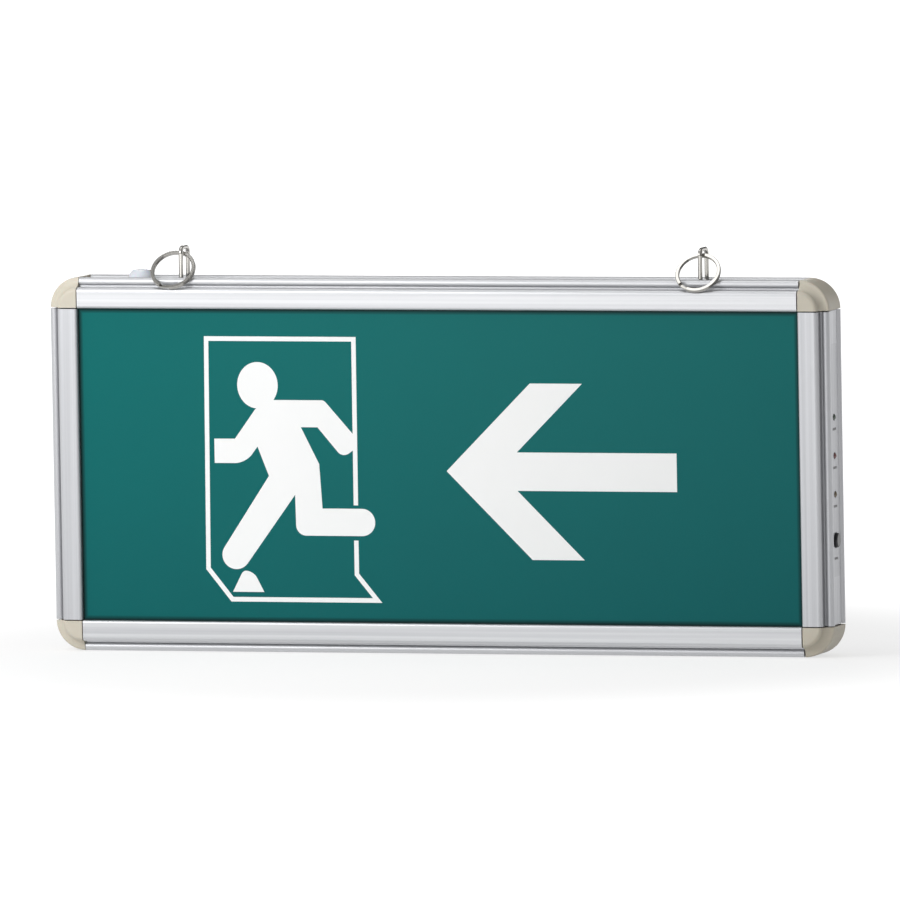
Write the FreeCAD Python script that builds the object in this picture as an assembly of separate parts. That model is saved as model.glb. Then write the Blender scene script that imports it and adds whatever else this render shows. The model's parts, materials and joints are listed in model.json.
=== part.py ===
import FreeCAD, Part
import math
import os

# Hanging emergency exit light: a slim box of four anodised aluminium rails joined
# by moulded corner caps, with a green sign panel in front, a lit guide plate and a
# battery-backed driver behind it, and two split rings in wire loops on its top.
# X runs along the sign, -Y is its front, +Z is up.  It stands on its bottom rail,
# so the origin is under the middle of the body.  All sizes are in millimetres.

V = FreeCAD.Vector
Z_AXIS = V(0, 0, 1)
X_AXIS = V(1, 0, 0)
Y_AXIS = V(0, 1, 0)

# ---- body ---------------------------------------------------------------------
width = 360.0
height = 166.0
depth = 27.0

# ---- rail section: u runs outward from the opening, v runs back from the front --
rail_w = 13.6          # from the opening to the outermost bead
wall = 1.2
lip_t = 2.2            # the flat wall, from its face to the panel behind its lip
lip_round = 1.1        # rounding of the lip beside the sign
flat_w = 7.4           # flat face beside the opening
shoulder_r = 1.9       # rounding from the flat face down into the groove
groove_v = 5.0         # the groove's floor lies this far behind the flat face
bead_r = 1.8           # round bead along the outer edge
bead_v = 5.2           # depth of the bead's centre
channel_d = 1.3        # depth of the outer channel
slot_w = 3.2           # width of the panel slots
rib_t = 1.0            # rib behind each panel slot
rib_tip = 3.0          # the rib ends this far from the opening

# ---- panels -------------------------------------------------------------------
panel_t = 2.0          # sign panel and back cover
backing_t = 1.0        # diffuser and insulation sheet, each behind a panel
panel_fit = 0.1        # play between a panel and the rail's lip
panel_edge_fit = 0.2   # play between a panel's edge and the slot's bottom
guide_t = 3.0
guide_side = 2.8       # the guide plate reaches this far behind the side rails
guide_foot_fit = 0.2   # under the guide plate
guide_top_gap = 0.9    # between the guide plate's edge and the light sources
reflector_t = 0.5
sheet_gap = 0.1        # air between the guide plate and its neighbours

# ---- corner caps --------------------------------------------------------------
seam = 0.5             # visible gap between the ends of two rails at a cap
shoulder_end = 72.0    # degrees of the shoulder's rounding before the cove
cove_sag = 0.8         # hollow of the cap's cove
cap_edge_r = 0.9       # rounding from the cove to the cap's outer face
cap_wall = 1.2
hollow_bevel = 0.6     # inner corner of a cap, from its cove to its outer wall
tongue_t = 1.6
tongue_len = 14.0      # how far a tongue reaches into its rail
tongue_w = 10.0
tongue_v = 10.4        # a tongue's front face
tongue_fit = 0.2

# ---- hanging loops and split rings ----------------------------------------------
hanger_inset = 46.4    # from the opening's end to a loop
loop_wire_r = 1.0
loop_legs = 10.0       # between the two legs' axes, front to back
loop_rise = 14.0       # from the bead's top to the loop's top
leg_fit = 0.1
clamp_w = 6.0          # clamp plate inside the rail, under both legs' holes
clamp_l = 13.6
clamp_t = 0.8
nut_flats = 4.0
nut_t = 1.6
leg_end = 0.4          # leg's end past its nut
ring_od = 20.4
ring_wire_w = 1.6      # radial
ring_turn_t = 0.78     # thickness of one turn
ring_edge = 0.22       # bevel along the wire's edges
ring_turn_gap = 0.1    # between the two turns
ring_ramp = 28.0       # degrees over which the wire crosses to the other turn
ring_room = 1.7        # from the ring's section axis to the loop's wire
ring_rest_gap = 0.4    # between a ring at rest and the bead
ring_left_off = -2.7   # ring centre beside its loop
ring_right_off = 0.0
ring_left_turn = 118.0   # where the wire's ends meet, degrees round each ring
ring_right_turn = 140.0

# ---- cable grommet --------------------------------------------------------------
grommet_inset = 26.4   # from the opening's left end
grommet_dome_r = 6.3
grommet_dome_h = 4.2   # above the channel's floor
grommet_neck_r = 4.7
grommet_flange_r = 5.7
grommet_flange_t = 1.2
grommet_bore_r = 2.7
grommet_fit = 0.1

# ---- light strip ----------------------------------------------------------------
strip_clear = 5.0      # from a loop's axis to the strip's end
strip_w = 10.0
strip_t = 1.2
chip_count = 12
chip_end = 16.0        # from the strip's end to its first chip
chip_l = 3.5
chip_w = 2.8
chip_t = 1.4

# ---- side controls --------------------------------------------------------------
button_up = 14.0       # test button above the board's lower edge
led_first_up = 20.2    # lowest indicator above the test button
led_pitch = 17.0
led_r = 1.5
led_rim_r = 1.8
led_rim_t = 1.0
led_len = 4.4
led_proud = 0.9        # out of the channel's floor
led_fit = 0.1
led_pin = 0.5
led_pin_back = 2.0     # straight length of a pin before it bends to the board
button_r = 3.2
button_proud = 1.5
button_round = 0.7
button_fit = 0.3
button_flange_r = 3.9
button_flange_t = 0.8
button_travel = 0.8
stem_r = 1.0
stem_fit = 0.3
stem_in_switch = 1.2

# ---- driver board and its parts ---------------------------------------------------
board_w = 80.0
board_h = 78.0
board_t = 1.6
board_low = 37.0       # board's lower edge above the ground
board_side_gap = 2.1   # between the board's edge and the side rail's wall
spacer_len = 2.0
spacer_r = 2.6
spacer_inset = 9.0
screw_r = 1.4
screw_head_r = 2.6
screw_head_t = 1.6
screw_fit = 0.1
switch_w = 6.0
switch_l = 4.4
core_w = 19.0
core_h = 16.0
core_t = 4.4
core_leg = 3.4
coil_w = 11.0
coil_t = 7.2
coil_fit = 0.2
can_r = 3.5
can_len = 16.0
small_can_r = 3.15
small_can_len = 11.0
film_w = 13.0
film_h = 5.0
film_t = 7.2
chip_ic_w = 5.0
chip_ic_h = 4.0
chip_ic_t = 1.6
fuse_r = 2.6
fuse_glass_r = 2.2
fuse_len = 15.0
fuse_cap = 4.0
terminal_pitch = 5.0
terminal_poles = 3
terminal_h = 9.0
terminal_inset = 1.0   # below the board's top edge
terminal_t = 7.2
terminal_hole_r = 1.3
terminal_screw_r = 1.8
plug_inset = 1.0       # from the board's left edge
plug_w = 7.4
plug_h = 5.8
plug_t = 5.8

# ---- battery --------------------------------------------------------------------
cell_r = 5.25
cell_len = 44.5
cell_count = 3
battery_gap = 38.0     # between the pack and the driver board
battery_z = 80.0
clip_t = 0.6
clip_w = 12.0
clip_fit = 0.1
clip_foot = 8.0
rivet_r = 1.2
rivet_head_r = 2.2
rivet_head_t = 0.5

# ---- leads ----------------------------------------------------------------------
lead_r = 0.7
lead_bend = 3.0
lead_slant = 16.5      # the battery's leads slope down over this width
lead_gap = 2.4         # between the two leads of a pair
strip_lead_out = 6.0   # the strip's leads rise this far beside the board

# ---- worked out from the sizes above ----------------------------------------------
open_w = width - 2 * rail_w
open_h = height - 2 * rail_w
mid_z = height / 2
button_z = board_low + button_up
front_y = -depth / 2
groove_u = flat_w + shoulder_r
bead_u = rail_w - bead_r
channel_u = rail_w - channel_d
inner_u = channel_u - wall
slot_v0 = lip_t
slot_v1 = slot_v0 + slot_w
slot_u = groove_u - wall
rib_back = slot_v1 + rib_t
channel_floor_z = height - channel_d
rail_wall_z = channel_floor_z - wall
side_x = width / 2 - channel_d
side_wall_x = side_x - wall

panel_v = slot_v0 + panel_fit
backing_v = panel_v + panel_t
guide_v = rib_back + sheet_gap
reflector_v = guide_v + guide_t + sheet_gap
inside_y = front_y + depth - backing_v - backing_t
board_back_y = inside_y - spacer_len
board_y = board_back_y - board_t
board_x1 = side_wall_x - board_side_gap
board_x0 = board_x1 - board_w
battery_x = board_x0 - battery_gap - cell_count * cell_r
hanger_pitch = open_w - 2 * hanger_inset
grommet_x = grommet_inset - open_w / 2
strip_len = hanger_pitch - 2 * strip_clear
chip_pitch = (strip_len - 2 * chip_end) / (chip_count - 1)


def y_at(v):
    """Y of a depth v behind the front face."""
    return front_y + v


def quarter(centre, radius, start_deg, end_deg):
    """Arc in the section plane, drawn as points (u, v) about a centre."""
    points = []
    for deg in (start_deg, (start_deg + end_deg) / 2, end_deg):
        rad = math.radians(deg)
        points.append((centre[0] + radius * math.cos(rad), centre[1] + radius * math.sin(rad)))
    return points


def section_edges(path, to_3d):
    """Edges along a path of points; an entry of three points is an arc."""
    edges = []
    last = None
    for step in path:
        if isinstance(step[0], tuple):
            first, middle, end = (to_3d(*p) for p in step)
            if last is not None and last.distanceToPoint(first) > 1e-6:
                edges.append(Part.LineSegment(last, first).toShape())
            edges.append(Part.Arc(first, middle, end).toShape())
            last = end
        else:
            point = to_3d(*step)
            if last is not None and last.distanceToPoint(point) > 1e-6:
                edges.append(Part.LineSegment(last, point).toShape())
            last = point
    return edges


def flipped(point):
    """A section point reflected to the rear half."""
    return (point[0], depth - point[1])


def mirrored(path):
    """The same path, reflected to the rear half and run backwards."""
    back = []
    for step in reversed(path):
        if isinstance(step[0], tuple):
            back.append(tuple(flipped(p) for p in reversed(step)))
        else:
            back.append(flipped(step))
    return back


def face_of(path, to_3d):
    """Flat face bounded by a closed path."""
    edges = section_edges(path + [path[0]], to_3d)
    return Part.Face(Part.Wire(edges))


def shoulder(sweep):
    """Rounding at the outer edge of the flat face, turned through a number of degrees."""
    return tuple(quarter((flat_w, shoulder_r), shoulder_r, 270, 270 + sweep))


def rail_outside():
    """Front half of a rail's outer line, from the lip to the outer channel."""
    floor_deg = 180 + math.degrees(math.asin((bead_v - groove_v) / bead_r))
    channel_deg = 360 + math.degrees(math.acos((channel_u - bead_u) / bead_r))
    return [
        (0, slot_v0),
        tuple(quarter((lip_round, lip_round), lip_round, 180, 270)),
        shoulder(90),
        (groove_u, groove_v),
        tuple(quarter((bead_u, bead_v), bead_r, floor_deg, channel_deg)),
    ]


def rail_inside():
    """Front half of a rail's inner line, from the lip to the outer wall."""
    return [
        (0, slot_v0),
        (slot_u, slot_v0),
        (slot_u, slot_v1),
        (rib_tip, slot_v1),
        (rib_tip, rib_back),
        (inner_u, rib_back),
    ]


def closed_section(outside, inside):
    """Closed path from the front half of an outer and an inner line."""
    return outside + mirrored(outside) + [flipped(p) for p in inside[1:]] + inside[:0:-1]


def rail(length):
    """Rail along X with its opening edge on z = 0 and its bead upward."""
    section = closed_section(rail_outside(), rail_inside())
    face = face_of(section, lambda u, v: V(-length / 2, y_at(v), u))
    return face.extrude(V(length, 0, 0))


def placed(shape, turn_deg, shift):
    """Copy of a shape turned about Y, then moved."""
    copy = shape.copy()
    copy.rotate(V(0, 0, 0), Y_AXIS, turn_deg)
    copy.translate(shift)
    return copy


def cylinder(radius, length, start, axis):
    return Part.makeCylinder(radius, length, start, axis)


def block(x0, x1, y0, y1, z0, z1):
    return Part.makeBox(x1 - x0, y1 - y0, z1 - z0, V(x0, y0, z0))


def side_axes():
    """Heights of the three indicators, lowest first."""
    return [button_z + led_first_up + i * led_pitch for i in range(3)]


def hanger_xs():
    return {"left": -hanger_pitch / 2, "right": hanger_pitch / 2}


def leg_ys():
    return (-loop_legs / 2, loop_legs / 2)


def make_rails():
    across = open_w - seam
    upright = open_h - seam
    top = placed(rail(across), 0, V(0, 0, height - rail_w))
    for x in hanger_xs().values():
        for y in leg_ys():
            hole = cylinder(loop_wire_r + leg_fit, 2 * wall, V(x, y, rail_wall_z - wall / 2), Z_AXIS)
            top = top.cut(hole)
    top = top.cut(cylinder(grommet_neck_r + grommet_fit, 2 * wall,
                           V(grommet_x, 0, rail_wall_z - wall / 2), Z_AXIS))
    right = placed(rail(upright), 90, V(width / 2 - rail_w, 0, mid_z))
    for z in side_axes():
        right = right.cut(cylinder(led_r + led_fit, 2 * wall, V(side_wall_x - wall / 2, 0, z), X_AXIS))
    right = right.cut(cylinder(button_r + button_fit, 2 * wall,
                               V(side_wall_x - wall / 2, 0, button_z), X_AXIS))
    return {
        "top_rail": top,
        "bottom_rail": placed(rail(across), 180, V(0, 0, rail_w)),
        "left_rail": placed(rail(upright), -90, V(rail_w - width / 2, 0, mid_z)),
        "right_rail": right,
    }


def cap_outside():
    """Front half of a cap's outer line, from its axis to its outer face."""
    edge_u = rail_w - cap_edge_r
    start = shoulder(shoulder_end)[2]
    end = (edge_u, bead_v - cap_edge_r)
    sag = cove_sag / math.sqrt(2)
    middle = ((start[0] + end[0]) / 2 - sag, (start[1] + end[1]) / 2 + sag)
    return [
        (0, 0),
        shoulder(shoulder_end),
        (start, middle, end),
        tuple(quarter((edge_u, bead_v), cap_edge_r, 270, 360)),
    ]


def cap_inside():
    """Front half of a cap's inner line: the panel's pocket, then the hollow behind it."""
    hollow_r = rail_w - cap_wall
    return [
        (0, slot_v0),
        (slot_u, slot_v0),
        (slot_u, backing_v),
        (hollow_r - hollow_bevel, bead_v + cap_wall),
        (hollow_r, bead_v + cap_wall + hollow_bevel),
    ]


def corner_cap():
    """Cap for the upper right corner, about the opening's corner at the origin."""
    outside = cap_outside()
    inside = cap_inside()
    path = outside + mirrored(outside) + [flipped(p) for p in inside] + inside[::-1]
    shell = face_of(path, lambda u, v: V(0, y_at(v), u)).revolve(V(0, 0, 0), Y_AXIS, 90)
    keep = block(seam / 2, rail_w + 1, front_y - 1, -front_y + 1, seam / 2, rail_w + 1)
    shell = shell.common(keep)
    tongue_u1 = inner_u - tongue_fit
    tongue_u0 = tongue_u1 - tongue_t
    y0 = y_at(tongue_v)
    y1 = y0 + tongue_w
    root = math.sqrt((rail_w - cap_wall) ** 2 - tongue_u1 ** 2) + cap_wall / 2
    across = block(-tongue_len, root, y0, y1, tongue_u0, tongue_u1)
    upright = block(tongue_u0, tongue_u1, y0, y1, -tongue_len, root)
    return shell.fuse(across).fuse(upright).removeSplitter()


def make_caps():
    cap = corner_cap()
    x = width / 2 - rail_w
    top = height - rail_w
    return {
        "corner_cap_top_right": placed(cap, 0, V(x, 0, top)),
        "corner_cap_bottom_right": placed(cap, 90, V(x, 0, rail_w)),
        "corner_cap_bottom_left": placed(cap, 180, V(-x, 0, rail_w)),
        "corner_cap_top_left": placed(cap, 270, V(-x, 0, top)),
    }


def sheet(v, thickness, left, right, low, high, corner=0.0):
    """Flat sheet; its edges are given as distances outside the opening."""
    x0 = -open_w / 2 - left
    x1 = open_w / 2 + right
    z0 = rail_w - low
    z1 = height - rail_w + high
    body = block(x0, x1, y_at(v), y_at(v + thickness), z0, z1)
    if corner > 0:
        edges = [e for e in body.Edges if abs(e.tangentAt(e.FirstParameter).y) > 0.99]
        body = body.makeFillet(corner, edges)
    return body


def make_sheets():
    edge = slot_u - panel_edge_fit
    backing = (edge, edge, edge, edge, edge)
    guide_low = inner_u - guide_foot_fit
    guide_top = inner_u - strip_t - chip_t - guide_top_gap
    around = (guide_side, guide_side, guide_low, guide_top)
    return {
        "sign_panel": sheet(panel_v, panel_t, *backing),
        "diffuser_sheet": sheet(backing_v, backing_t, *backing),
        "light_guide": sheet(guide_v, guide_t, *around),
        "reflector_sheet": sheet(reflector_v, reflector_t, *around),
        "insulation_sheet": sheet(depth - backing_v - backing_t, backing_t, *backing),
        "back_cover": sheet(depth - panel_v - panel_t, panel_t, *backing),
    }


def make_light_strip():
    z = rail_wall_z
    y = y_at(guide_v)
    board = block(-strip_len / 2, strip_len / 2, y, y + strip_w, z - strip_t, z)
    chips = []
    y = y_at(guide_v + guide_t / 2)
    for i in range(chip_count):
        x = (i - (chip_count - 1) / 2) * chip_pitch
        chips.append(block(x - chip_l / 2, x + chip_l / 2, y - chip_w / 2, y + chip_w / 2,
                           z - strip_t - chip_t, z - strip_t))
    return {"light_strip_board": board, "light_strip_chips": Part.makeCompound(chips)}


def loop_axis(x):
    """Centre line of a wire loop: up one leg, across and down the other."""
    bend = ring_room + loop_wire_r
    y = loop_legs / 2
    top = height + loop_rise - loop_wire_r
    low = rail_wall_z - clamp_t - nut_t - leg_end
    lean = bend * (1 - math.sqrt(0.5))
    return Part.Wire([
        Part.LineSegment(V(x, -y, low), V(x, -y, top - bend)).toShape(),
        Part.Arc(V(x, -y, top - bend), V(x, lean - y, top - lean), V(x, bend - y, top)).toShape(),
        Part.LineSegment(V(x, bend - y, top), V(x, y - bend, top)).toShape(),
        Part.Arc(V(x, y - bend, top), V(x, y - lean, top - lean), V(x, y, top - bend)).toShape(),
        Part.LineSegment(V(x, y, top - bend), V(x, y, low)).toShape(),
    ])


def wire_loop(x):
    axis = loop_axis(x)
    start = axis.OrderedVertexes[0].Point
    circle = Part.Wire([Part.makeCircle(loop_wire_r, start, Z_AXIS)])
    return axis.makePipeShell([circle], True, False)


def hexagon(x, y, z, flats, thickness):
    """Hexagonal prism standing on z, with its flats front and back."""
    radius = flats / math.sqrt(3)
    corners = [V(x + radius * math.cos(math.radians(60 * i)),
                 y + radius * math.sin(math.radians(60 * i)), z) for i in range(7)]
    return Part.Face(Part.makePolygon(corners)).extrude(V(0, 0, thickness))


def make_hangers():
    clamps = []
    nuts = []
    low = rail_wall_z - clamp_t
    for x in hanger_xs().values():
        clamp = block(x - clamp_w / 2, x + clamp_w / 2, -clamp_l / 2, clamp_l / 2, low, rail_wall_z)
        for y in leg_ys():
            clamp = clamp.cut(cylinder(loop_wire_r + leg_fit, clamp_t, V(x, y, low), Z_AXIS))
            nut = hexagon(x, y, low - nut_t, nut_flats, nut_t)
            nuts.append(nut.cut(cylinder(loop_wire_r, nut_t, V(x, y, low - nut_t), Z_AXIS)))
        clamps.append(clamp)
    xs = hanger_xs()
    return {
        "hanger_loop_left": wire_loop(xs["left"]),
        "hanger_loop_right": wire_loop(xs["right"]),
        "hanger_clamps": Part.makeCompound(clamps),
        "hanger_nuts": Part.makeCompound(nuts),
    }


def ring_pivot():
    """Y and Z of the axis about which a ring swings in its loop."""
    y = -loop_legs / 2 + loop_wire_r + ring_room
    z = height + loop_rise - 2 * loop_wire_r - ring_room
    return y, z


def ring_half_t():
    return ring_turn_t + ring_turn_gap / 2


def ring_lean():
    """Lean from upright, in degrees, at which a ring lies on the front bead."""
    y, z = ring_pivot()
    dy = y - y_at(bead_v)
    dz = z - (height - bead_r)
    reach = bead_r + ring_half_t() + ring_rest_gap
    return math.degrees(math.atan2(dy, dz) + math.asin(reach / math.hypot(dy, dz)))


def ring_outline(level):
    """Bevelled outline of the ring's wire, its lower face at y = level."""
    outer = ring_od / 2
    inner = outer - ring_wire_w
    top = level + ring_turn_t
    bevel = ring_edge
    corners = [(inner + bevel, level), (outer - bevel, level), (outer, level + bevel),
               (outer, top - bevel), (outer - bevel, top), (inner + bevel, top),
               (inner, top - bevel), (inner, level + bevel)]
    return Part.makePolygon([V(r, y, 0) for r, y in corners + corners[:1]])


def ring_turn(level, start_deg, sweep_deg):
    """One flat turn of the ring's wire about Y."""
    turn = Part.Face(ring_outline(level)).revolve(V(0, 0, 0), Y_AXIS, sweep_deg)
    turn.rotate(V(0, 0, 0), Y_AXIS, start_deg)
    return turn


def ring_section(deg, level):
    """Outline of the ring's wire at an angle round the ring."""
    outline = ring_outline(level)
    outline.rotate(V(0, 0, 0), Y_AXIS, deg)
    return outline


def split_ring(x, offset, ends_deg):
    """Two-turn ring through a loop, lying on the top rail's front bead."""
    low = -ring_half_t()
    high = ring_turn_gap / 2
    sweep = 360 - ring_ramp
    first = ring_turn(low, ends_deg, sweep)
    second = ring_turn(high, ends_deg, sweep)
    steps = 4
    sections = [ring_section(ends_deg + sweep + ring_ramp * i / steps,
                             low + (high - low) * i / steps) for i in range(steps + 1)]
    ramp = Part.makeLoft(sections, True, False)
    ring = first.fuse(ramp).fuse(second)
    mean_r = (ring_od - ring_wire_w) / 2
    rise = math.sqrt(mean_r ** 2 - offset ** 2)
    ring.translate(V(offset, 0, -rise))
    ring.rotate(V(0, 0, 0), X_AXIS, -ring_lean())
    y, z = ring_pivot()
    ring.translate(V(x, y, z))
    return ring


def make_rings():
    xs = hanger_xs()
    return {
        "split_ring_left": split_ring(xs["left"], ring_left_off, ring_left_turn),
        "split_ring_right": split_ring(xs["right"], ring_right_off, ring_right_turn),
    }


def make_grommet():
    """Domed grommet snapped into the top rail."""
    floor = channel_floor_z
    flange_top = rail_wall_z
    crown = grommet_bore_r + (grommet_dome_r - grommet_bore_r) / 4
    path = [
        (grommet_bore_r, flange_top - grommet_flange_t),
        (grommet_flange_r, flange_top - grommet_flange_t),
        (grommet_flange_r, flange_top),
        (grommet_neck_r, flange_top),
        (grommet_neck_r, floor),
        ((grommet_dome_r, floor), (grommet_dome_r * 0.82, floor + grommet_dome_h * 0.62),
         (crown, floor + grommet_dome_h)),
        (grommet_bore_r, floor + grommet_dome_h),
    ]
    body = face_of(path, lambda r, z: V(r, 0, z)).revolve(V(0, 0, 0), Z_AXIS, 360)
    body.translate(V(grommet_x, 0, 0))
    return {"cable_grommet": body}


def indicator(z):
    """Indicator lamp lying along X, with two pins bent back to the board."""
    apex = side_x + led_proud
    base = apex - led_len
    body = cylinder(led_r, led_len - led_r, V(base, 0, z), X_AXIS)
    dome = Part.makeSphere(led_r, V(apex - led_r, 0, z))
    lamp = body.fuse(dome).fuse(cylinder(led_rim_r, led_rim_t, V(base, 0, z), X_AXIS))
    half = led_pin / 2
    for side in (-led_r / 2, led_r / 2):
        zp = z + side
        lamp = lamp.fuse(block(base - led_pin_back, base, -half, half, zp - half, zp + half))
        lamp = lamp.fuse(block(base - led_pin_back, base - led_pin_back + led_pin,
                               -half, board_y, zp - half, zp + half))
    return lamp


def make_controls():
    names = ("indicator_lamp_fault", "indicator_lamp_charge", "indicator_lamp_mains")
    nodes = {name: indicator(z) for name, z in zip(names, side_axes())}
    flange_x = side_wall_x - button_fit
    face_x = side_x + button_proud
    switch_x1 = flange_x - button_flange_t - button_travel - button_fit
    cap = cylinder(button_r, face_x - flange_x, V(flange_x, 0, button_z), X_AXIS)
    rim = [e for e in cap.Edges if abs(e.CenterOfMass.x - face_x) < 1e-6]
    cap = cap.makeFillet(button_round, rim)
    flange = cylinder(button_flange_r, button_flange_t, V(flange_x - button_flange_t, 0, button_z), X_AXIS)
    stem_x0 = switch_x1 - stem_in_switch
    stem = cylinder(stem_r, flange_x - stem_x0, V(stem_x0, 0, button_z), X_AXIS)
    nodes["test_button"] = cap.fuse(flange).fuse(stem).removeSplitter()
    body = block(switch_x1 - switch_l, switch_x1, -switch_w / 2, board_y,
                 button_z - switch_w / 2, button_z + switch_w / 2)
    hole_depth = stem_in_switch + button_travel + stem_fit
    hole = cylinder(stem_r + stem_fit, hole_depth, V(switch_x1 - hole_depth, 0, button_z), X_AXIS)
    nodes["test_switch"] = body.cut(hole)
    return nodes


def board_points():
    """The four fixing points of the driver board, as (x, z)."""
    xs = (board_x0 + spacer_inset, board_x1 - spacer_inset)
    zs = (board_low + spacer_inset, board_low + board_h - spacer_inset)
    return [(x, z) for x in xs for z in zs]


def make_board():
    board = block(board_x0, board_x1, board_y, board_back_y, board_low, board_low + board_h)
    spacers = []
    screws = []
    for x, z in board_points():
        board = board.cut(cylinder(screw_r + screw_fit, board_t + 2, V(x, board_y - 1, z), Y_AXIS))
        bore = cylinder(screw_r, spacer_len, V(x, board_back_y, z), Y_AXIS)
        spacers.append(cylinder(spacer_r, spacer_len, V(x, board_back_y, z), Y_AXIS).cut(bore))
        head = cylinder(screw_head_r, screw_head_t, V(x, board_y - screw_head_t, z), Y_AXIS)
        shank = cylinder(screw_r, board_t + spacer_len, V(x, board_y, z), Y_AXIS)
        screws.append(head.fuse(shank).removeSplitter())
    return {
        "driver_board": board,
        "board_spacers": Part.makeCompound(spacers),
        "board_screws": Part.makeCompound(screws),
    }


def make_transformer(x, z):
    """Ferrite E core around a wound bobbin; x and z give its middle."""
    y1 = board_y
    y0 = y1 - core_t
    half_w = core_w / 2
    half_h = core_h / 2
    lift = (coil_t - core_t) / 2
    core = block(x - half_w, x + half_w, y0, y1, z - half_h, z + half_h)
    window = block(x - half_w + core_leg, x + half_w - core_leg, y0 - 1, y1 + 1,
                   z - half_h + core_leg, z + half_h - core_leg)
    core = core.cut(window)
    post = block(x - core_leg / 2, x + core_leg / 2, y0, y1, z - half_h + core_leg, z + half_h - core_leg)
    core = core.fuse(post).removeSplitter()
    core.translate(V(0, -lift, 0))
    coil = block(x - coil_w / 2, x + coil_w / 2, y1 - coil_t, y1,
                 z - half_h + core_leg + coil_fit, z + half_h - core_leg - coil_fit)
    tube = block(x - core_leg / 2 - coil_fit, x + core_leg / 2 + coil_fit,
                 y0 - lift - coil_fit, y1 - lift + coil_fit, z - half_h, z + half_h)
    return core, coil.cut(tube)


def make_fuse(x, z):
    """Cartridge fuse lying along X, with two end caps a little wider than its tube."""
    y = board_y - fuse_r
    start = x - fuse_len / 2
    tube = cylinder(fuse_glass_r, fuse_len, V(start, y, z), X_AXIS)
    for cap_x in (start, start + fuse_len - fuse_cap):
        tube = tube.fuse(cylinder(fuse_r, fuse_cap, V(cap_x, y, z), X_AXIS))
    return tube


def make_terminal(x0, z1):
    """Mains terminal block; wires enter from above and screws face forward."""
    length = terminal_pitch * terminal_poles
    z0 = z1 - terminal_h
    y0 = board_y - terminal_t
    well_d = terminal_t * 0.4
    head_d = terminal_t * 0.25
    entry_d = terminal_h * 0.7
    entry_y = board_y - terminal_t * 0.35
    body = block(x0, x0 + length, y0, board_y, z0, z1)
    screws = []
    for i in range(terminal_poles):
        x = x0 + terminal_pitch * (i + 0.5)
        entry = cylinder(terminal_hole_r, entry_d, V(x, entry_y, z1 - entry_d), Z_AXIS)
        well = cylinder(terminal_screw_r + screw_fit, well_d, V(x, y0, z0 + terminal_h / 2), Y_AXIS)
        body = body.cut(entry).cut(well)
        front = V(x, y0 + well_d - head_d, z0 + terminal_h / 2)
        screws.append(cylinder(terminal_screw_r, head_d, front, Y_AXIS))
    return body, Part.makeCompound(screws)


def make_components():
    """What stands on the driver board, placed from its corners."""
    left = board_x0
    top = board_low + board_h
    middle_x = left + board_w * 0.42
    core, coil = make_transformer(middle_x, top - board_h * 0.35)
    body, screws = make_terminal(left + 2 * spacer_inset, top - terminal_inset)
    cans = [cylinder(can_r, can_len, V(left + board_w * 0.6, board_y - can_r, top - board_h * 0.2), X_AXIS),
            cylinder(small_can_r, small_can_len,
                     V(left + board_w * 0.2, board_y - small_can_r, board_low + board_h * 0.3), Z_AXIS),
            cylinder(small_can_r, small_can_len,
                     V(left + board_w * 0.32, board_y - small_can_r, board_low + board_h * 0.3), Z_AXIS)]
    film_x = left + board_w * 0.62
    film_z = board_low + board_h * 0.5
    film = block(film_x, film_x + film_w, board_y - film_t, board_y, film_z, film_z + film_h)
    ic_x = left + board_w * 0.45
    ic_z = board_low + board_h * 0.2
    ic = block(ic_x, ic_x + chip_ic_w, board_y - chip_ic_t, board_y, ic_z, ic_z + chip_ic_h)
    nodes = {
        "transformer_core": core,
        "transformer_coil": coil,
        "mains_terminal": body,
        "terminal_screws": screws,
        "capacitor_cans": Part.makeCompound(cans),
        "film_capacitor": film,
        "control_chip": ic,
        "mains_fuse": make_fuse(left + board_w * 0.5, board_low + board_h * 0.1),
    }
    for name, share in (("battery_plug", 0.17), ("strip_plug", 0.6)):
        z0 = board_low + board_h * share
        x0 = left + plug_inset
        nodes[name] = block(x0, x0 + plug_w, board_y - plug_t, board_y, z0, z0 + plug_h)
    return nodes


def battery_clip():
    """Sheet strap over the pack, with a foot riveted to the sheet behind it at each end."""
    y1 = inside_y
    reach = 2 * cell_r + clip_fit
    half = cell_count * cell_r + clip_fit
    z0 = battery_z - clip_w / 2
    z1 = battery_z + clip_w / 2
    outer = block(battery_x - half - clip_t, battery_x + half + clip_t, y1 - reach - clip_t, y1, z0, z1)
    inner = block(battery_x - half, battery_x + half, y1 - reach, y1 + 1, z0 - 1, z1 + 1)
    strap = outer.cut(inner)
    rivets = []
    for side in (-1, 1):
        foot_in = battery_x + side * (half + clip_t)
        foot_out = foot_in + side * clip_foot
        strap = strap.fuse(block(min(foot_in, foot_out), max(foot_in, foot_out), y1 - clip_t, y1, z0, z1))
        centre = V((foot_in + foot_out) / 2, y1 - clip_t, battery_z)
        strap = strap.cut(cylinder(rivet_r, clip_t + 1, centre, Y_AXIS))
        head = cylinder(rivet_head_r, rivet_head_t, centre - V(0, rivet_head_t, 0), Y_AXIS)
        rivets.append(head.fuse(cylinder(rivet_r, clip_t, centre, Y_AXIS)).removeSplitter())
    return strap.removeSplitter(), Part.makeCompound(rivets)


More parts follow.
